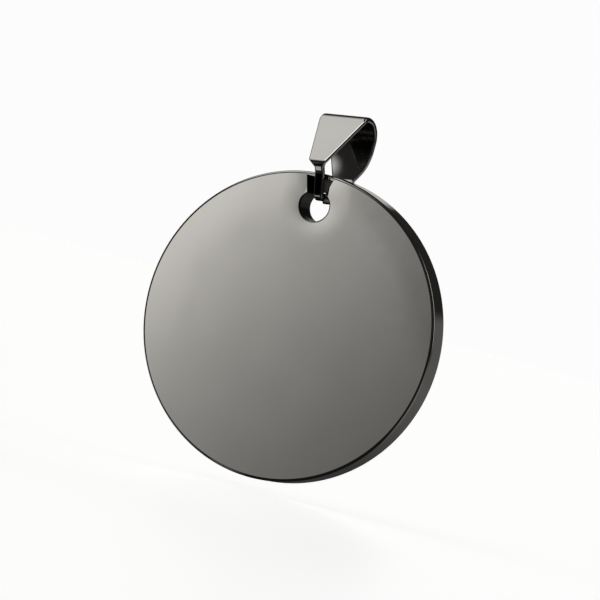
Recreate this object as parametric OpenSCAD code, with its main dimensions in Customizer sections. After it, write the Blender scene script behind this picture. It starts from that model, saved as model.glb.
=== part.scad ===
// Round disc pendant with a folded strip bail.
// The disc hangs in the XZ plane, its front faces -Y, and +Z runs up through its hole.
// The origin is the seat of the chain, at the top of the space inside the bail.

/* [Disc] */
// Diameter of the disc
disc_d = 30; // [24:0.5:36]
// Thickness of the disc
disc_t = 2.9; // [2.4:0.1:2.9]
// Rounding of the disc's two rim edges
rim_r = 0.28; // [0.1:0.02:0.5]

/* [Hole] */
// Diameter of the hole near the rim
hole_d = 3; // [2.8:0.1:3.4]
// Metal left between the hole and the rim
hole_web = 1.7; // [1.4:0.1:1.8]
// Rounding of the hole's mouth at both faces
mouth_r = 0.17; // [0.05:0.01:0.25]
// How far the hole sits to the left of the pin that it hangs on
hole_left = 0.4; // [0:0.05:0.4]

/* [Recess] */
// Depth of the wedge-shaped recess in the front face, in which the bail's tab swings
recess_depth = 2.2; // [1.6:0.1:2.4]
// Width of the recess at its top
recess_w = 2.7; // [2.4:0.1:2.9]
// Slope of the recess's sides from the upright
recess_flare = 15; // [10:1:18]
// Metal left between the recess and the rim
recess_web = 0.5; // [0.4:0.05:0.7]
// How far the recess sits to the left of the hole
recess_left = 0.15; // [0:0.05:0.3]

/* [Bail] */
// Thickness of the bail's strip
strip_t = 0.54; // [0.48:0.01:0.54]
// Width of the bail along its crest
crest_w = 5; // [4.6:0.1:5.4]
// Height of the crest's outside above the pin
crest_h = 8.35; // [7.8:0.05:9]
// How far the crest's front edge lies behind the pin
crest_back = 1.35; // [1:0.05:1.6]
// Turn of the bail about the upright, right end forward
bail_turn = 8.4; // [0:0.2:9]
// Tilt of the bail to the left
bail_tilt = 7.2; // [0:0.2:10]

/* [Front leg] */
// How far the bend of the front leg stands in front of the pin
front_bend_out = 2.72; // [2.4:0.02:2.76]
// Height of the front leg's bend above the pin
front_bend_h = 3.1; // [2.9:0.05:3.3]
// Width of the front leg at its bend
front_bend_w = 1.9; // [1.6:0.05:2.4]

/* [Back leg] */
// How far the back leg stands behind the pin at the crest
back_top_out = 4; // [3.7:0.05:4.4]
// How far the back leg stands behind the pin where it folds towards the disc
back_fold_out = 3.4; // [3.2:0.05:3.6]
// Width of the back leg at its middle
back_mid_w = 4.5; // [4.2:0.1:4.7]
// Width of the back leg where it passes the rim
back_low_w = 2.4; // [2:0.1:3]
// How far that part of the back leg sits to the left
back_low_left = 0.35; // [0:0.05:0.5]

/* [Pin and tabs] */
// Diameter of the pin that runs through the hole
pin_d = 0.8; // [0.7:0.02:0.84]
// Clearance between the pin and the hole's wall
pin_gap = 0.05; // [0.03:0.01:0.1]
// Width of the front tab that holds the pin
tab_w = 0.95; // [0.85:0.05:1.1]
// Width of the back tab that holds the pin
back_tab_w = 1.8; // [1.4:0.1:1.9]
// Gap between the front tab and the disc
front_gap = 0.2; // [0.18:0.01:0.24]
// Gap between the back tab and the disc
back_gap = 0.34; // [0.3:0.01:0.4]

/* [Hidden] */
$fn = 96;
eps = 0.01;

hole_r = hole_d / 2;
pin_r = pin_d / 2;
hole_to_center = disc_d / 2 - hole_web - hole_r;
pin_to_hole = hole_r - pin_gap - pin_r;
seat_above_pin = crest_h - strip_t;
pin_z = -seat_above_pin;
hole_z = pin_z - sqrt(pow(pin_to_hole, 2) - pow(hole_left, 2));
disc_z = hole_z - sqrt(pow(hole_to_center, 2) - pow(hole_left, 2));

// Centre line of the strip: how far in front of the pin it is, and how high above the pin
half_t = strip_t / 2;
foot_bend_inside_r = 0.18;
foot_bend_r = half_t + foot_bend_inside_r;
foot_below_pin = 0.04;
foot_h = half_t - pin_r - foot_below_pin;
tab_curve_out = 2.3;
tab_curve_h = 2.3;
tab_curve_r = 2;
front_bend_r = 0.5;
crest_front_r = 0.9;
crest_back_r = 1.9;
back_fold_h = 2.1;
back_fold_r = 0.7;
back_tab_h = 0.9;
back_tab_r = 0.5;
front_tab_out = disc_t / 2 + front_gap + half_t;
back_tab_out = disc_t / 2 + back_gap + half_t;
strip_path = [
    [front_tab_out - foot_bend_r - eps, foot_h],
    [front_tab_out, foot_h],
    [tab_curve_out, tab_curve_h],
    [front_bend_out, front_bend_h],
    [-crest_back, crest_h - half_t],
    [-back_top_out, crest_h - half_t],
    [-back_fold_out, back_fold_h],
    [-back_tab_out, back_tab_h],
    [-back_tab_out, foot_h],
    [eps + foot_bend_r - back_tab_out, foot_h],
];
strip_bends = [
    0, foot_bend_r, tab_curve_r, front_bend_r, crest_front_r, crest_back_r,
    back_fold_r, back_tab_r, foot_bend_r, 0,
];

// The tabs keep to the pin's line while the rest of the bail is turned
front_tab_shift = 0.25;
back_tab_shift = -0.35;
front_neck_h = 2.7;
front_shoulder_h = 3.35;
back_neck_h = 1.6;
back_low_h = 2.2;
back_wide_h = 4.6;
back_curve_h = 3.2;
back_curve_left = 1.8;
back_curve_right = 1.75;
split_out = 1.5;
leg_reach = 6;
above_crest = 9;
below_foot = 2;
full_w_below_seat = 0.1;
pin_inset = 0.15;

function unit(v) = v / norm(v);
function heading(path, i) = unit(path[i + 1] - path[i]);
function turn_at(path, i) = acos(min(1, heading(path, i - 1) * heading(path, i)));
function trim_at(path, bends, i) = bends[i] == 0 ? 0 : bends[i] * tan(turn_at(path, i) / 2);
function is_left_turn(a, b) = a[0] * b[1] - a[1] * b[0] > 0;
function left_of(v) = [-v[1], v[0]];

module straight(from, to, thick) {
    side = left_of(unit(to - from)) * thick / 2;
    polygon([from + side, to + side, to - side, from - side]);
}

module rounded_bend(path, bends, i, thick) {
    before = heading(path, i - 1);
    after = heading(path, i);
    trim = trim_at(path, bends, i);
    inward = is_left_turn(before, after) ? 1 : -1;
    start = path[i] - before * trim;
    end = path[i] + after * trim;
    middle = start + left_of(before) * bends[i] * inward;
    reach = 4 * (bends[i] + thick);
    intersection() {
        translate(middle) difference() {
            circle(bends[i] + thick / 2);
            circle(bends[i] - thick / 2);
        }
        polygon([
            middle,
            middle + unit(start - middle) * reach,
            path[i] + unit(path[i] - middle) * reach,
            middle + unit(end - middle) * reach,
        ]);
    }
}

module strip_outline(path, bends, thick) {
    last = len(path) - 2;
    for (i = [0 : last]) {
        along = heading(path, i);
        from = trim_at(path, bends, i) - eps;
        to = trim_at(path, bends, i + 1) - eps;
        straight(path[i] + along * from, path[i + 1] - along * to, thick);
    }
    for (i = [1 : last]) rounded_bend(path, bends, i, thick);
}

// A leg from the front: the tab, which sits to one side, the shoulders and the full width at the crest
module leg_outline(width, shift, neck_h, shoulders) {
    full_w_h = seat_above_pin - full_w_below_seat;
    rows = concat(
        [for (h = [-below_foot, neck_h]) [shift - width / 2, shift + width / 2, h]],
        shoulders,
        [for (h = [full_w_h, above_crest]) [-crest_w / 2, crest_w / 2, h]]
    );
    last = len(rows) - 1;
    right = [for (row = rows) [row[1], row[2]]];
    left = [for (i = [last : -1 : 0]) [rows[i][0], rows[i][2]]];
    polygon(concat(right, left));
}

module leg(from_y, width, shift, neck_h, shoulders) {
    intersection() {
        rotate([90, 0, -90]) linear_extrude(crest_w + 1, center = true) {
            strip_outline(strip_path, strip_bends, strip_t);
        }
        translate([0, from_y, 0]) rotate([90, 0, 0]) linear_extrude(leg_reach) {
            leg_outline(width, shift, neck_h, shoulders);
        }
    }
}

module pin() {
    pin_start = pin_inset - front_tab_out;
    pin_end = back_tab_out - pin_inset;
    translate([0, pin_end, 0]) rotate([90, 0, 0]) cylinder(r = pin_r, h = pin_end - pin_start);
}

module disc_body() {
    flat_r = disc_d / 2 - rim_r;
    rotate([90, 0, 0]) rotate_extrude() {
        translate([0, -disc_t / 2]) square([flat_r, disc_t]);
        translate([0, rim_r - disc_t / 2]) square([disc_d / 2, disc_t - 2 * rim_r]);
        for (s = [-1, 1]) translate([flat_r, s * (disc_t / 2 - rim_r)]) circle(rim_r);
    }
}

module hole_cutter() {
    rotate([90, 0, 0]) rotate_extrude() {
        translate([0, -disc_t]) square([hole_r, 2 * disc_t]);
        for (s = [0, 1]) mirror([0, s]) difference() {
            translate([0, disc_t / 2 - mouth_r]) square([hole_r + mouth_r, disc_t]);
            translate([hole_r + mouth_r, disc_t / 2 - mouth_r]) circle(mouth_r);
        }
    }
}

module recess_cutter() {
    top = hole_web + hole_r - recess_web;
    half_top = recess_w / 2;
    half_low = half_top - top * tan(recess_flare);
    translate([-recess_left, recess_depth - disc_t / 2, 0]) {
        rotate([90, 0, 0]) linear_extrude(2 * disc_t) {
            polygon([[-half_low, 0], [half_low, 0], [half_top, top], [-half_top, top]]);
        }
    }
}

module disc() {
    color("lightslategray") difference() {
        translate([0, 0, disc_z]) disc_body();
        translate([-hole_left, 0, hole_z]) {
            hole_cutter();
            recess_cutter();
        }
    }
}

module bail() {
    front_shoulders = [[-front_bend_w / 2, front_bend_w / 2, front_shoulder_h]];
    back_shoulders = [
        [-back_low_w / 2 - back_low_left, back_low_w / 2 - back_low_left, back_low_h],
        [-back_curve_left, back_curve_right, back_curve_h],
        [-back_mid_w / 2, back_mid_w / 2, back_wide_h],
    ];
    color("silver") translate([0, 0, pin_z]) {
        pin();
        rotate([0, -bail_tilt, -bail_turn]) {
            leg(split_out, tab_w, front_tab_shift, front_neck_h, front_shoulders);
            leg(split_out + leg_reach, back_tab_w, back_tab_shift, back_neck_h, back_shoulders);
        }
    }
}

disc();
bail();
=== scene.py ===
import math

import bpy
from mathutils import Matrix, Vector, geometry


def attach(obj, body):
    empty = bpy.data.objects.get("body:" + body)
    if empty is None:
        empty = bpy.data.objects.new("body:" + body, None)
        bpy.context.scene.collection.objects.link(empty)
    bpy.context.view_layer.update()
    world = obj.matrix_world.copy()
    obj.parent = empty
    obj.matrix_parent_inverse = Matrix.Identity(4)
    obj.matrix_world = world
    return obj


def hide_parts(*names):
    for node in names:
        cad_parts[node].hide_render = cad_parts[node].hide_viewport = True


MM = 0.001
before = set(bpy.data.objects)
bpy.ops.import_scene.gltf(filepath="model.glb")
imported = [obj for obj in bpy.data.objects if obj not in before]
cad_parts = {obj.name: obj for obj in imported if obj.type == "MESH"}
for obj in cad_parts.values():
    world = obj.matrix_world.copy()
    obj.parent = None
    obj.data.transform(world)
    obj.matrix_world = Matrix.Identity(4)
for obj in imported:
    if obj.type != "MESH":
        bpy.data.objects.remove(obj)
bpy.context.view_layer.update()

# Sizes of the disc that part.scad states or works out, in mm
DISC_R = 15
DISC_T = 2.9
DISC_Z = -20.574
FRONT_Y = -DISC_T / 2
BACK_Y = DISC_T / 2
RIM_R = 0.28
HOLE_R = 1.5
HOLE_MIDDLE = Vector((-0.4, 0, -8.7808))
MOUTH_R = 0.17
RECESS_DEPTH = 2.2
RECESS_Y = FRONT_Y + RECESS_DEPTH
# The recess, across and up from the hole's middle
RECESS_X = -0.15
RECESS_TOP = 2.7
RECESS_HALF_TOP = 1.35
RECESS_FLARE = math.radians(15)
RECESS_SLOPE = math.tan(RECESS_FLARE)
RECESS_HALF_LOW = RECESS_HALF_TOP - RECESS_TOP * RECESS_SLOPE

# Sizes of the bail that part.scad states or works out, in mm
PIN_Z = -7.81
PIN_R = 0.4
PIN_INSET = 0.15
STRIP_T = 0.54
FRONT_TAB_OUT = 1.92
BACK_TAB_OUT = 2.06
FOOT_H = -0.17
FOOT_BEND_R = 0.45
FOOT_OVERLAP = 0.01
CREST_H = 8.08
TILT = math.radians(-7.2)
TURN = math.radians(-8.4)
BAIL_TURN = Matrix.Rotation(TURN, 3, "Z") @ Matrix.Rotation(TILT, 3, "Y")
# Centre line of the strip: out in front of the pin, height above it, and the bend's radius there
STRIP_PATH = [
    (FRONT_TAB_OUT - FOOT_BEND_R - FOOT_OVERLAP, FOOT_H, 0),
    (FRONT_TAB_OUT, FOOT_H, FOOT_BEND_R),
    (2.3, 2.3, 2.0),
    (2.72, 3.1, 0.5),
    (-1.35, CREST_H, 0.9),
    (-4.0, CREST_H, 1.9),
    (-3.4, 2.1, 0.7),
    (-BACK_TAB_OUT, 0.9, 0.5),
    (-BACK_TAB_OUT, FOOT_H, FOOT_BEND_R),
    (FOOT_OVERLAP + FOOT_BEND_R - BACK_TAB_OUT, FOOT_H, 0),
]
# Height above the pin, left edge and right edge of each leg seen from the front
CREST_EDGES = [(7.71, -2.5, 2.5), (9, -2.5, 2.5)]
FRONT_EDGES = [(-2, -0.225, 0.725), (2.7, -0.225, 0.725), (3.35, -0.95, 0.95), *CREST_EDGES]
BACK_EDGES = [
    (-2, -1.25, 0.55), (1.6, -1.25, 0.55), (2.2, -1.55, 0.85), (3.2, -1.8, 1.75),
    (4.6, -2.25, 2.25), *CREST_EDGES,
]
SPLIT_OUT = -1.5

# Finer shapes than part.scad has, in mm: the strip's and the recess's rounded edges, and how far up and
# down the corners of the back leg's outline are softened
EDGE_R = 0.19
RECESS_EDGE_R = 0.06
CORNER_REACH = 0.6

# Steps of the meshes: along the strip in mm, round its bends in degrees, then counts
LINE_STEP = 0.12
BEND_STEP = 4
BEND_LEAST_STEPS = 4
ACROSS_STEPS = 10
EDGE_STEPS = 4
CORNER_STEPS = 4
PIN_SIDES = 64
ROUND_STEPS = 7
RIM_SIDES = 360
BORE_STEPS = 110
BORE_FADE_STEPS = 12
WEB_STEPS = 40
WEB_FADE_STEPS = 6
# Rows that start closer together than this, in mm, have no face between them
SAME_SPOT = 1e-6

# Camera: its right, up and back directions in the row frame
RIGHT = Vector((0.8972, 0.3619, 0.2531)).normalized()
BACK = Vector((0.3721, -0.9281, 0.0079)).normalized()
UP = BACK.cross(RIGHT).normalized()
RIGHT = UP.cross(BACK).normalized()
IMAGE_PX = 600
PX_PER_MM = 10.43
FOCAL_PX = 6000
FACE_PX = (286.9, 325.6)
FACE_CENTER = Vector((0, FRONT_Y, DISC_Z)) * MM
SENSOR_W = 36
# Nearest and furthest that the camera sees, in metres
CLIP = (0.01, 20)

# Studio, in directions as the camera sees them: x to the right, y up, z towards the camera.
# Each soft light: where its middle lies, the angles where it starts to fade and ends, its strength.
# The first list ends at the horizon, the second goes on below it.
LOBES = [
    ((0.08, 0.12, -0.99), 7.5, 12, 0.5),
    ((-0.86, 0.12, 0.5), 3, 12, 0.17),
]
LOW_LOBES = [
    ((-0.87, -0.17, 0.46), 4, 14, 0.014),
    ((-0.8, -0.53, 0.27), 2, 7, 0.5),
    ((0.74, -0.53, -0.42), 12, 26, 0.2),
    ((0.76, -0.55, 0.35), 12, 28, 0.16),
    ((-0.88, -0.3, -0.36), 10, 24, 0.1),
]
AMBIENT = 0.01
HORIZON = (0, 0.07)
# Each wide light is a product of slopes: the axis, where the slope starts and ends, the level at both
SKY = [("near", -0.75, -0.25, 0, 0.74), ("up", 0.68, 0.85, 0, 1), ("right", -0.25, 0, 1, 0)]
TABLE = [("up", *HORIZON, 0.11, 0), ("near", -0.7, -0.6, 1, 0), ("right", 0.05, 0.65, 0.3, 1)]
STRIP = [
    ("near", -0.24, -0.16, 0, 1.3),
    ("near", -0.06, 0.02, 1, 0),
    ("right", 0.45, 0.7, 0, 1),
    ("up", -0.22, -0.05, 0, 1),
    ("up", 0.4, 0.65, 1, 0),
]
WHITE = (1, 1, 1, 1)
LIGHT_COLOR = (1, 0.985, 0.96, 1)
PAPER_LIGHT = 0.975

# The panel that the disc's face mirrors, in mm. Its light changes by e to the power of CARD_FALL for
# each mm across and up the face, up to CARD_MOST times CARD_LIGHT
CARD_AWAY = 90
CARD_HALF = 27
CARD_LIGHT = 0.405
CARD_FALL = (-0.034, 0.0265)
CARD_MOST = 2
# Changes of that light near the disc's rim: the middle's direction on the face, the radii and the
# reach in that direction where the change starts and is full, and how much it adds
RIM_SHADES = [
    (145, 11.5, 14.5, 3, 12, 0.13),
    (42, 13.4, 14.9, 11, 14, -0.25),
]
# The panel that the bevel of the front leg's right edge mirrors, with that edge's two ends
BEVEL_LIGHT = 1.7
BEVEL_AIM = (0.28, 0.79, 0.54)
BEVEL_AWAY = 30
BEVEL_HALF = (14, 12)
BEVEL_ENDS = ((0.95, 2.72, 3.1), (2.5, -1.35, 8))
# The panel that the inside of the back leg mirrors, with the spot that shows it
LEG_LIGHT = 0.8
LEG_AIM = (-0.80, 0.40, 0.45)
LEG_AWAY = 12
LEG_CARD_HALF = 1.6
LEG_SPOT = Vector((-2.16, 3.5, -4.66))
# The floor's half width in metres, its distance below the disc in mm, and its look
FLOOR_HALF = 2
FLOOR_BELOW = 1
FLOOR_COLOR = (0.93, 0.93, 0.93, 1)
FLOOR_ROUGH = 0.35
FLOOR_LIGHT = 0.787

# Metal: the scale and detail of its clouds and marks, and what they change
CLOUDS = (180, 3)
MARKS = (900, 2)
MARK_STRENGTH = 0.02
MARK_DEPTH = 0.01
TINT_AT = (0.3, 0.7)
TINT_BY = (0.97, 1.02)
GLOSS_AT = (0.15, 0.4)
# The dark colour below is painted shade, with roughness added where it lies, in the hole, the recess and
# the bail's fold
# Painted shade on the disc, in mm: the radius round the hole and the distance from the middle plane where
# it starts to fade and where it ends, then where the clouds thin it and by how much
PAINTED_SHADE_COLOR = (0.055, 0.052, 0.048, 1)
PAINTED_SHADE_ROUGH = 0.2
PAINTED_SHADE_RADIUS = (3.05, 3.15)
PAINTED_SHADE_DEPTH = (1.4, 1.445)
PAINTED_SHADE_PATCHES = (0.3, 0.6, 0.9, 1)
# Painted shade inside the bail's fold: the spot that its surface faces, then how squarely it faces it and
# how high above the pin it lies where the painted shade starts and is full
FOLD_MIDDLE = (0, -0.9, 4.6)
FOLD_FACING = (0.3, 0.45)
FOLD_UP = (5.2, 6.4)
# How far the polish rolls the faces off round the hole and the recess, in mm
DISH_REACH = 2.2
DISH_DEPTH = 0.05
DISH_BLEND = 1.2
DISH_POWER = 2
# Each body's metal: colour, least and most roughness, how far its marks stretch upwards, where its painted
# shade lies
FINISHES = {
    "disc": ((0.60, 0.59, 0.565), (0.05, 0.11), 1, "recess"),
    "bail": ((0.66, 0.65, 0.63), (0.05, 0.12), 0.15, "fold"),
}


def seen(x, y, z):
    """A direction given as right, up and towards the camera, in the row frame."""
    return (RIGHT * x + UP * y + BACK * z).normalized()


def bail_way(x, out, up):
    """A direction in the turned bail, as right, out to the front and up, in the row frame."""
    return BAIL_TURN @ Vector((x, -out, up))


def place_bail(x, out, up):
    """A spot of the turned bail, measured from the pin, in the row frame and in mm."""
    return bail_way(x, out, up) + Vector((0, 0, PIN_Z))


def add_camera():
    """The camera, which shows the middle of the disc's face at FACE_PX."""
    data = bpy.data.cameras.new("camera")
    data.sensor_width = SENSOR_W
    data.lens = FOCAL_PX / IMAGE_PX * SENSOR_W
    data.clip_start, data.clip_end = CLIP
    cam = bpy.data.objects.new("camera", data)
    bpy.context.scene.collection.objects.link(cam)
    off_x = (IMAGE_PX / 2 - FACE_PX[0]) / PX_PER_MM * MM
    off_y = (FACE_PX[1] - IMAGE_PX / 2) / PX_PER_MM * MM
    distance = FOCAL_PX / PX_PER_MM * MM
    spot = FACE_CENTER + RIGHT * off_x + UP * off_y + BACK * distance
    cam.matrix_world = Matrix.Translation(spot) @ Matrix((RIGHT, UP, BACK)).transposed().to_4x4()
    bpy.context.scene.camera = cam


class Nodes:
    """Short calls for building a node tree."""

    def __init__(self, tree):
        self.tree = tree
        tree.nodes.clear()

    def add(self, kind, **values):
        node = self.tree.nodes.new(kind)
        for name, value in values.items():
            setattr(node, name, value)
        return node

    def link(self, start, end):
        self.tree.links.new(start, end)

    def fill(self, node, *values):
        """Links or sets the node's first inputs, in their order, and gives its outputs."""
        for socket, value in zip(node.inputs, values):
            if isinstance(value, bpy.types.NodeSocket):
                self.link(value, socket)
            else:
                socket.default_value = value
        return node.outputs

    def math(self, operation, *values):
        return self.fill(self.add("ShaderNodeMath", operation=operation), *values)[0]

    def vector(self, operation, *values):
        return self.fill(self.add("ShaderNodeVectorMath", operation=operation), *values)

    def product(self, first, *others):
        for other in others:
            first = self.math("MULTIPLY", first, other)
        return first

    def radius(self, x, y):
        squares = self.math("ADD", self.math("MULTIPLY", x, x), self.math("MULTIPLY", y, y))
        return self.math("SQRT", squares)

    def spread(self, value, low, high, to_low, to_high, kind="SMOOTHSTEP"):
        node = self.add("ShaderNodeMapRange", interpolation_type=kind)
        return self.fill(node, value, low, high, to_low, to_high)[0]

    def along(self, vector, direction):
        return self.vector("DOT_PRODUCT", vector, direction)["Value"]

    def here(self):
        return self.add("ShaderNodeTexCoord").outputs["Object"]

    def noise(self, vector, scale, detail, stretch=(1, 1, 1)):
        place = self.add("ShaderNodeMapping")
        place.inputs["Scale"].default_value = stretch
        self.link(vector, place.inputs["Vector"])
        node = self.add("ShaderNodeTexNoise")
        node.inputs["Scale"].default_value = scale
        node.inputs["Detail"].default_value = detail
        self.link(place.outputs[0], node.inputs["Vector"])
        return node.outputs["Fac"]

    def light(self, kind, color, strength):
        node = self.add(kind)
        return self.fill(node, color, strength)[0]

    def show(self, shader, kind="ShaderNodeOutputMaterial"):
        self.link(shader, self.add(kind).inputs["Surface"])


def lobes(n, direction, lights):
    """The soft lights of a list, with a little light from everywhere."""
    total = AMBIENT
    for where, start, end, strength in lights:
        cosine = n.along(direction, seen(*where))
        lobe = n.spread(cosine, math.cos(math.radians(end)), math.cos(math.radians(start)), 0, strength)
        total = n.math("ADD", lobe, total)
    return total


def wide_light(n, axes, slopes):
    """A light that each of its slopes fades along one axis."""
    return n.product(*(n.spread(axes[axis], *limits) for axis, *limits in slopes))


def build_world():
    """The studio that the metal mirrors; the camera itself sees plain paper in its place."""
    world = bpy.data.worlds.new("studio")
    bpy.context.scene.world = world
    world.use_nodes = True
    n = Nodes(world.node_tree)
    direction = n.add("ShaderNodeTexCoord").outputs["Generated"]
    axes = {name: n.along(direction, way) for name, way in (("right", RIGHT), ("up", UP), ("near", BACK))}
    above = n.spread(axes["up"], *HORIZON, 0, 1)
    total = n.math("ADD", lobes(n, direction, LOBES), wide_light(n, axes, SKY))
    total = n.math("MULTIPLY", total, above)
    for part in (wide_light(n, axes, TABLE), wide_light(n, axes, STRIP), lobes(n, direction, LOW_LOBES)):
        total = n.math("ADD", total, part)
    light = n.light("ShaderNodeBackground", LIGHT_COLOR, total)
    paper = n.light("ShaderNodeBackground", WHITE, PAPER_LIGHT)
    by_camera = n.add("ShaderNodeLightPath").outputs["Is Camera Ray"]
    pick = n.fill(n.add("ShaderNodeMixShader"), by_camera, light, paper)
    n.show(pick[0], "ShaderNodeOutputWorld")


def new_material(name):
    material = bpy.data.materials.new(name)
    material.use_nodes = True
    return material, Nodes(material.node_tree)


def flat_piece(name, center, long, wide):
    """A rectangle, given by its middle and its two half sides."""
    mesh = bpy.data.meshes.new(name)
    corners = [center + long * i + wide * j for i, j in ((-1, -1), (1, -1), (1, 1), (-1, 1))]
    mesh.from_pydata([tuple(c) for c in corners], [], [(0, 1, 2, 3)])
    piece = bpy.data.objects.new(name, mesh)
    bpy.context.scene.collection.objects.link(piece)
    return piece


def add_panel(name, center, long, wide, light, fade=False):
    """A bright panel that lights the bail alone, and which only the bail's mirror images show."""
    card = flat_piece(name, center, long, wide)
    card.visible_camera = False
    card.visible_shadow = False
    card.light_linking.receiver_collection = lit["bail"]
    material, n = new_material(name)
    strength = light
    if fade:
        off = n.vector("DISTANCE", n.here(), center)["Value"]
        strength = n.spread(off, 0, long.length, light, 0)
    glow = n.light("ShaderNodeEmission", LIGHT_COLOR, strength)
    clear = n.add("ShaderNodeBsdfTransparent").outputs[0]
    n.show(n.fill(n.add("ShaderNodeAddShader"), glow, clear)[0])
    card.data.materials.append(material)


def add_leg_card():
    """What the inside of the back leg mirrors at its lower left."""
    aim = seen(*LEG_AIM)
    side = aim.cross(UP).normalized()
    top = side.cross(aim).normalized()
    center = LEG_SPOT * MM + aim * LEG_AWAY * MM
    half = LEG_CARD_HALF * MM
    add_panel("leg_card", center, side * half, top * half, LEG_LIGHT, fade=True)


def add_bevel_card():
    """What the bevel of the front leg's right edge mirrors."""
    aim = seen(*BEVEL_AIM)
    edge_low, edge_top = (place_bail(*end) * MM for end in BEVEL_ENDS)
    along = (edge_top - edge_low).normalized()
    across = along.cross(aim).normalized()
    center = (edge_low + edge_top) / 2 + aim * BEVEL_AWAY * MM
    half_long, half_wide = BEVEL_HALF
    add_panel("bevel_card", center, along * half_long * MM, across * half_wide * MM, BEVEL_LIGHT)


def card_light(n, center, aim):
    """The light card's strength, given by where on the disc's face each of its points is mirrored."""
    place = n.vector("SUBTRACT", n.here(), center)["Vector"]
    face_x = n.along(place, (1, -aim.x / aim.y, 0))
    face_z = n.along(place, (0, -aim.z / aim.y, 1))
    across = n.math("MULTIPLY", face_x, CARD_FALL[0] / MM)
    upward = n.math("MULTIPLY", face_z, CARD_FALL[1] / MM)
    fall = n.math("MINIMUM", n.math("POWER", math.e, n.math("ADD", across, upward)), CARD_MOST)
    radius = n.radius(face_x, face_z)
    level = 1
    for degrees, start, end, reach_from, reach_to, change in RIM_SHADES:
        way = math.radians(degrees)
        toward_x = n.math("MULTIPLY", face_x, math.cos(way))
        toward = n.math("ADD", toward_x, n.math("MULTIPLY", face_z, math.sin(way)))
        near_rim = n.spread(radius, start * MM, end * MM, 0, change)
        on_side = n.spread(toward, reach_from * MM, reach_to * MM, 0, 1)
        level = n.math("ADD", level, n.math("MULTIPLY", near_rim, on_side))
    return n.product(fall, level, CARD_LIGHT)


def add_card():
    """The soft light panel in front and to the left, which the disc's face mirrors."""
    normal = Vector((0, -1, 0))
    aim = (2 * normal.dot(BACK) * normal - BACK).normalized()
    side = (Vector((1, 0, 0)) - aim * aim.x).normalized()
    top = aim.cross(side).normalized()
    if top.z < 0:
        top = -top
    center = FACE_CENTER + aim * CARD_AWAY * MM
    half = CARD_HALF * MM
    card = flat_piece("light_card", center, side * half, top * half)
    card.visible_camera = False
    card.light_linking.receiver_collection = lit["disc"]
    material, n = new_material("light_card")
    n.show(n.light("ShaderNodeEmission", LIGHT_COLOR, card_light(n, center, aim)))
    card.data.materials.append(material)


def add_floor():
    """The white ground below the disc, which no piece mirrors."""
    middle = Vector((0, 0, (DISC_Z - DISC_R - FLOOR_BELOW) * MM))
    floor = flat_piece("floor", middle, Vector((FLOOR_HALF, 0, 0)), Vector((0, FLOOR_HALF, 0)))
    floor.visible_glossy = False
    material, n = new_material("floor")
    shade = n.add("ShaderNodeBsdfPrincipled")
    shade.inputs["Base Color"].default_value = FLOOR_COLOR
    shade.inputs["Roughness"].default_value = FLOOR_ROUGH
    shade.inputs["Emission Color"].default_value = WHITE
    shade.inputs["Emission Strength"].default_value = FLOOR_LIGHT
    n.show(shade.outputs[0])
    floor.data.materials.append(material)


def hole_offsets(n, here):
    """How far a point lies across and up from the hole's middle."""
    off = n.vector("SUBTRACT", here, HOLE_MIDDLE * MM)["Vector"]
    return n.along(off, (1, 0, 0)), n.along(off, (0, 0, 1))


def recess_painted_shade(n, here, cloud):
    """How much painted shade darkens the metal: full inside the hole and the recess, none on the faces."""
    near = n.spread(n.radius(*hole_offsets(n, here)), *(r * MM for r in PAINTED_SHADE_RADIUS), 1, 0)
    depth = n.math("ABSOLUTE", n.along(here, (0, 1, 0)))
    inside = n.spread(depth, *(y * MM for y in PAINTED_SHADE_DEPTH), 1, 0)
    return n.product(near, inside, n.spread(cloud, *PAINTED_SHADE_PATCHES))


def fold_painted_shade(n, here):
    """How much painted shade darkens and dulls the inside of the bail's fold: full under the crest, none
    outside or lower down.
    """
    inward = n.vector("SUBTRACT", place_bail(*FOLD_MIDDLE) * MM, here)["Vector"]
    way = n.vector("NORMALIZE", inward)["Vector"]
    facing = n.along(n.add("ShaderNodeTexCoord").outputs["Normal"], way)
    high = n.spread(n.along(here, (0, 0, 1)), *((PIN_Z + up) * MM for up in FOLD_UP), 0, 1)
    return n.product(n.spread(facing, *FOLD_FACING, 0, 1), high)


def dish(n, here):
    """The polish rolls the faces off towards the hole and the recess: 1 at their edge, 0 further out."""
    x, z = hole_offsets(n, here)
    from_hole = n.math("SUBTRACT", n.radius(x, z), HOLE_R * MM)
    aside = n.math("ABSOLUTE", n.math("SUBTRACT", x, RECESS_X * MM))
    half_width = n.math("ADD", n.math("MULTIPLY", z, RECESS_SLOPE), RECESS_HALF_LOW * MM)
    from_side = n.math("MULTIPLY", n.math("SUBTRACT", aside, half_width), math.cos(RECESS_FLARE))
    from_ends = n.math("MAXIMUM", n.math("SUBTRACT", z, RECESS_TOP * MM), n.math("MULTIPLY", z, -1))
    from_recess = n.math("MAXIMUM", from_side, from_ends)
    away = n.math("SMOOTH_MIN", from_hole, from_recess, DISH_BLEND * MM)
    return n.math("POWER", n.spread(away, 0, DISH_REACH * MM, 1, 0, "LINEAR"), DISH_POWER)


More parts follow.
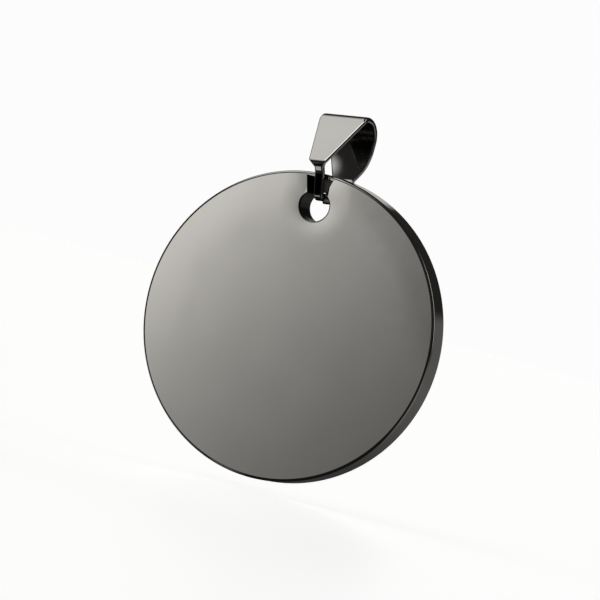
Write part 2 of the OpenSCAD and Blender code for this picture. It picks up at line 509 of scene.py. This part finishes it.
def metal(name, color, rough_range, grain, painted_shade_at):
    """Polished metal with faintly cloudy gloss, hair-fine marks, and painted shade in the recess or the
    fold.
    """
    material, n = new_material(name)
    here = n.here()
    cloud = n.noise(here, *CLOUDS)
    marks = n.noise(here, *MARKS, (1, 1, grain))
    tint = n.add("ShaderNodeValToRGB")
    for element, at, factor in zip(tint.color_ramp.elements, TINT_AT, TINT_BY):
        element.position = at
        element.color = (*[min(1, c * factor) for c in color], 1)
    n.link(cloud, tint.inputs["Fac"])
    # Painted shade: a dark colour mixed in, and roughness added, inside the hole and the recess or inside
    # the bail's fold
    painted_shade = recess_painted_shade(n, here, cloud) if painted_shade_at == "recess" else fold_painted_shade(n, here)
    dark = n.add("ShaderNodeMix", data_type="RGBA")
    n.link(painted_shade, dark.inputs["Factor"])
    n.link(tint.outputs[0], dark.inputs["A"])
    dark.inputs["B"].default_value = PAINTED_SHADE_COLOR
    rough = n.spread(n.math("MULTIPLY", cloud, marks), *GLOSS_AT, *rough_range, "LINEAR")
    rough = n.math("ADD", rough, n.math("MULTIPLY", painted_shade, PAINTED_SHADE_ROUGH))
    bump = n.add("ShaderNodeBump")
    bump.inputs["Strength"].default_value = MARK_STRENGTH
    bump.inputs["Distance"].default_value = MARK_DEPTH * MM
    n.link(marks, bump.inputs["Height"])
    normal = bump.outputs[0]
    if painted_shade_at == "recess":
        rolled = n.add("ShaderNodeBump", invert=True)
        rolled.inputs["Strength"].default_value = 1
        rolled.inputs["Distance"].default_value = DISH_DEPTH * MM
        n.link(dish(n, here), rolled.inputs["Height"])
        n.link(normal, rolled.inputs["Normal"])
        normal = rolled.outputs[0]
    shade = n.add("ShaderNodeBsdfPrincipled")
    shade.inputs["Metallic"].default_value = 1
    n.link(dark.outputs["Result"], shade.inputs["Base Color"])
    n.link(rough, shade.inputs["Roughness"])
    n.link(normal, shade.inputs["Normal"])
    n.show(shade.outputs[0])
    return material


def mesh_object(name, points, faces, normals):
    """A mesh from points in mm, with the exact normal of the surface at each point."""
    outward = []
    for face in faces:
        a, b, c = (points[face[i]] for i in (0, len(face) // 3, 2 * len(face) // 3))
        turned = (b - a).cross(c - a).dot(sum((normals[i] for i in face), Vector()))
        outward.append(face if turned > 0 else face[::-1])
    mesh = bpy.data.meshes.new(name)
    mesh.from_pydata([[axis * MM for axis in point] for point in points], [], outward)
    mesh.polygons.foreach_set("use_smooth", [True] * len(mesh.polygons))
    mesh.normals_split_custom_set_from_vertices([tuple(v) for v in normals])
    piece = bpy.data.objects.new(name, mesh)
    bpy.context.scene.collection.objects.link(piece)
    return piece


def center_line(step_mm, step_deg):
    """Points along the strip's centre line with its direction there."""
    line = []
    path = [Vector(p[:2]) for p in STRIP_PATH]
    bends = [p[2] for p in STRIP_PATH]
    last = path[0]
    for i in range(1, len(path)):
        before = (path[i] - path[i - 1]).normalized()
        if i == len(path) - 1:
            trim, turn = 0, 0
        else:
            after = (path[i + 1] - path[i]).normalized()
            turn = math.atan2(before.cross(after), before.dot(after))
            trim = bends[i] * math.tan(abs(turn) / 2)
        end = path[i] - before * trim
        count = max(1, round((end - last).length / step_mm))
        first = 1 if line else 0
        for k in range(first, count + 1):
            line.append((last.lerp(end, k / count), before))
        if turn:
            side = Vector((-before.y, before.x)) * math.copysign(bends[i], turn)
            middle = end + side
            count = max(BEND_LEAST_STEPS, round(math.degrees(abs(turn)) / step_deg))
            for k in range(1, count + 1):
                spin = Matrix.Rotation(turn * k / count, 2)
                line.append((middle - spin @ side, spin @ before))
            last = line[-1][0]
    return line


def straight_edges(table, up):
    """Left and right edge at a height, on the straight lines between the table's rows."""
    for low, high in zip(table, table[1:]):
        if up <= high[0]:
            share = max(0, (up - low[0]) / (high[0] - low[0]))
            return tuple(a + (b - a) * share for a, b in zip(low[1:], high[1:]))
    return table[-1][1:]


def edges_at(out, up):
    """Left and right edge of the strip; the back leg's corners are rounded off."""
    if out > SPLIT_OUT:
        return straight_edges(FRONT_EDGES, up)
    steps = range(-CORNER_STEPS, CORNER_STEPS + 1)
    near = [straight_edges(BACK_EDGES, up + CORNER_REACH * k / CORNER_STEPS) for k in steps]
    return tuple(sum(pair[side] for pair in near) / len(near) for side in (0, 1))


def section(across_steps, edge_steps):
    """Places round the strip's section: share of the width, depth, inset and the outward normal."""
    places = []
    half = STRIP_T / 2
    for face in (-1, 1):
        for k in range(across_steps + 1):
            share = k / across_steps if face < 0 else 1 - k / across_steps
            places.append((share, face * half, EDGE_R, (0, face)))
        side = -face
        for corner in (face, -face):
            steps = range(1, edge_steps + 1) if corner == face else range(edge_steps)
            for k in steps:
                a = math.pi / 2 * k / edge_steps
                if corner != face:
                    a = math.pi / 2 - a
                depth = corner * (half - EDGE_R + EDGE_R * math.cos(a))
                inset = EDGE_R * (1 - math.sin(a))
                outward = (math.sin(a) * side, corner * math.cos(a))
                places.append((0.5 + 0.5 * side, depth, inset, outward))
    return places


def strip_ring(spot, way, places):
    """Points round the strip where its centre line passes a spot in a direction."""
    inward = Vector((-way.y, way.x))
    ring = []
    for share, depth, inset, _ in places:
        at = spot + inward * depth
        left, right = edges_at(at.x, at.y)
        x = left + inset + (right - left - 2 * inset) * share
        ring.append(place_bail(x, at.x, at.y))
    return ring


def ring_normals(way, places, before, after):
    """The surface's normals round a ring, from the rings before and after it."""
    side = bail_way(1, 0, 0)
    deep = bail_way(0, -way.y, way.x)
    normals = []
    for place, low, high in zip(places, before, after):
        sideways, inward = place[3]
        outward = side * sideways + deep * inward
        around = deep * sideways - side * inward
        normal = (high - low).cross(around).normalized()
        normals.append(-normal if normal.dot(outward) < 0 else normal)
    return normals


def build_strip():
    """The bail's strip, as rings along its centre line that are closed off at both ends."""
    line = center_line(LINE_STEP, BEND_STEP)
    places = section(ACROSS_STEPS, EDGE_STEPS)
    rings = [strip_ring(spot, way, places) for spot, way in line]
    size = len(places)
    last = len(rings) - 1
    points, normals, faces = [], [], []
    for i, ring in enumerate(rings):
        points += ring
        normals += ring_normals(line[i][1], places, rings[max(0, i - 1)], rings[min(last, i + 1)])
    for i in range(last):
        for j in range(size):
            k = (j + 1) % size
            faces.append((i * size + j, i * size + k, (i + 1) * size + k, (i + 1) * size + j))
    for i, sign in ((0, -1), (last, 1)):
        way = line[i][1] * sign
        faces.append(tuple(len(points) + j for j in range(size)))
        points += rings[i]
        normals += [bail_way(0, way.x, way.y)] * size
    return mesh_object("bail_strip", points, faces, normals)


def build_pin():
    """The bail's pin, a straight round rod with flat ends."""
    points, normals, faces = [], [], []
    for y in (PIN_INSET - FRONT_TAB_OUT, BACK_TAB_OUT - PIN_INSET):
        for k in range(PIN_SIDES):
            a = 2 * math.pi * k / PIN_SIDES
            around = Vector((math.cos(a), 0, math.sin(a)))
            points.append(around * PIN_R + Vector((0, y, PIN_Z)))
            normals.append(around)
    for k in range(PIN_SIDES):
        m = (k + 1) % PIN_SIDES
        faces.append((k, m, PIN_SIDES + m, PIN_SIDES + k))
    for row, way in ((0, -1), (1, 1)):
        start = len(points)
        points += points[row * PIN_SIDES:(row + 1) * PIN_SIDES]
        normals += [Vector((0, way, 0))] * PIN_SIDES
        faces.append(tuple(start + k for k in range(PIN_SIDES)))
    return mesh_object("bail_pin", points, faces, normals)


def round_row(base, reach, normal, round_r, depth, face):
    """Points and normals down a rounded edge, from the flat face (at depth) into the wall."""
    row = []
    for k in range(ROUND_STEPS + 1):
        a = math.pi / 2 * k / ROUND_STEPS
        spot = base + reach * round_r * (1 - math.sin(a))
        y = depth - face * round_r * (1 - math.cos(a))
        up = normal * math.sin(a)
        row.append((Vector((spot.x, y, spot.y)), Vector((up.x, face * math.cos(a), up.y))))
    return row if face < 0 else row[::-1]


def wall_row(base, reach, normal, front, front_r, back_r):
    """Points and normals of a wall from its front face to the disc's back face, with both edges rounded."""
    front_row = round_row(base, reach, normal, front_r, front, -1)
    return front_row + round_row(base, reach, normal, back_r, BACK_Y, 1)


def spoke(angle):
    """The direction across and up that an angle stands for."""
    return Vector((math.cos(angle), math.sin(angle)))


def from_hole(row):
    """A row that is measured from the hole's middle, moved to its place."""
    return [(spot + HOLE_MIDDLE, normal) for spot, normal in row]


def rim_rows():
    """The wall all round the disc's rim."""
    rows = []
    for k in range(RIM_SIDES):
        out = spoke(2 * math.pi * k / RIM_SIDES)
        rows.append(wall_row(Vector((0, DISC_Z)) + out * DISC_R, -out, out, FRONT_Y, RIM_R, RIM_R))
    return rows


def hole_rows(start, end, steps, front, end_r, middle_r, fade_steps):
    """The hole's wall between two angles. The front edge's rounding changes towards both ends."""
    rows = []
    for k in range(steps + 1):
        out = spoke(start + (end - start) * k / steps)
        share = min(1, min(k, steps - k) / fade_steps)
        front_r = end_r + (middle_r - end_r) * share
        rows.append(from_hole(wall_row(out * HOLE_R, out, -out, front, front_r, MOUTH_R)))
    return rows


def recess_foot(side):
    """Where the recess's right (1) or left (-1) side meets the hole's edge, from the hole's middle."""
    start = RECESS_X + side * RECESS_HALF_LOW
    a = 1 + RECESS_SLOPE * RECESS_SLOPE
    b = start * side * RECESS_SLOPE
    c = start * start - HOLE_R * HOLE_R
    up = (math.sqrt(b * b - a * c) - b) / a
    return Vector((start + side * RECESS_SLOPE * up, up))


def recess_rows(corners):
    """The recess's three walls down to its ground, two rows for each wall."""
    sides = [(b - a).normalized() for a, b in zip(corners, corners[1:])]
    outs = [Vector((d.y, -d.x)) for d in sides]
    mitres = [(a + b) / (1 + a.dot(b)) for a, b in zip(outs, outs[1:])]
    reaches = [corners[0].normalized(), *mitres, corners[-1].normalized()]
    rows = []
    for i, out in enumerate(outs):
        for spot, reach in ((corners[i], reaches[i]), (corners[i + 1], reaches[i + 1])):
            row = round_row(spot, reach, -out, RECESS_EDGE_R, FRONT_Y, -1)
            row.append((Vector((spot.x, RECESS_Y, spot.y)), row[-1][1]))
            rows.append(from_hole(row))
    return rows


def sheet(points, normals, faces, rows, closed):
    """Quads between neighbouring rows that all have the same number of points."""
    start = len(points)
    size = len(rows[0])
    for row in rows:
        points += [spot for spot, _ in row]
        normals += [normal for _, normal in row]
    for i in range(len(rows) if closed else len(rows) - 1):
        j = (i + 1) % len(rows)
        if (rows[i][0][0] - rows[j][0][0]).length < SAME_SPOT:
            continue
        a = start + i * size
        b = start + j * size
        faces += [(a + k, b + k, b + k + 1, a + k + 1) for k in range(size - 1)]


def flat_face(points, normals, faces, loops, face):
    """A flat face at the front (-1) or the back (1), from its outline and the outlines of its holes."""
    start = len(points)
    flat = [[Vector((p.x, p.z, 0)) for p in loop] for loop in loops]
    spots = [p for loop in loops for p in loop]
    points += spots
    normals += [Vector((0, face, 0))] * len(spots)
    for triangle in geometry.tessellate_polygon(flat):
        faces.append(tuple(start + corner for corner in triangle))


def front_points(rows):
    """Where the rows start, at their front face."""
    return [row[0][0] for row in rows]


def back_points(rows):
    """Where the rows end, at the disc's back face."""
    return [row[-1][0] for row in rows]


def build_disc():
    """The disc with its rim, the hole's bore, the recess and the web that is left behind it."""
    right_foot, left_foot = recess_foot(1), recess_foot(-1)
    top_right, top_left = (Vector((RECESS_X + s * RECESS_HALF_TOP, RECESS_TOP)) for s in (1, -1))
    right_angle = math.atan2(right_foot.y, right_foot.x)
    left_angle = math.atan2(left_foot.y, left_foot.x)
    full_turn = 2 * math.pi
    rim = rim_rows()
    bore = hole_rows(
        left_angle, right_angle + full_turn, BORE_STEPS, FRONT_Y, RECESS_EDGE_R, MOUTH_R, BORE_FADE_STEPS
    )
    walls = recess_rows([right_foot, top_right, top_left, left_foot])
    web = hole_rows(right_angle, left_angle, WEB_STEPS, RECESS_Y, 0, RECESS_EDGE_R, WEB_FADE_STEPS)
    points, normals, faces = [], [], []
    sheet(points, normals, faces, rim, True)
    for rows in (bore, walls, web):
        sheet(points, normals, faces, rows, False)

    ground = front_points(web)
    ground += [Vector((c.x, RECESS_Y, c.y)) + HOLE_MIDDLE for c in (top_left, top_right)]
    # The second row of the last wall lies on the bore's first row, so it is left out
    opening = front_points(bore) + front_points(walls[1:-1:2])
    back = back_points(bore) + back_points(web[1:-1])
    flat_face(points, normals, faces, [ground], -1)
    flat_face(points, normals, faces, [front_points(rim), opening], -1)
    flat_face(points, normals, faces, [back_points(rim), back], 1)
    return mesh_object("disc_polished", points, faces, normals)


# Each panel lights the pieces of one body alone
lit = {body: bpy.data.collections.new(body + "_lit") for body in FINISHES}

add_camera()
build_world()
add_card()
add_bevel_card()
add_leg_card()
add_floor()
bpy.context.scene.view_settings.view_transform = "Standard"

metals = {body: metal(body + "_metal", *finish) for body, finish in FINISHES.items()}
for piece, body in ((build_disc(), "disc"), (build_strip(), "bail"), (build_pin(), "bail")):
    piece.data.materials.append(metals[body])
    lit[body].objects.link(piece)
    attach(piece, body)
    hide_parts(body)
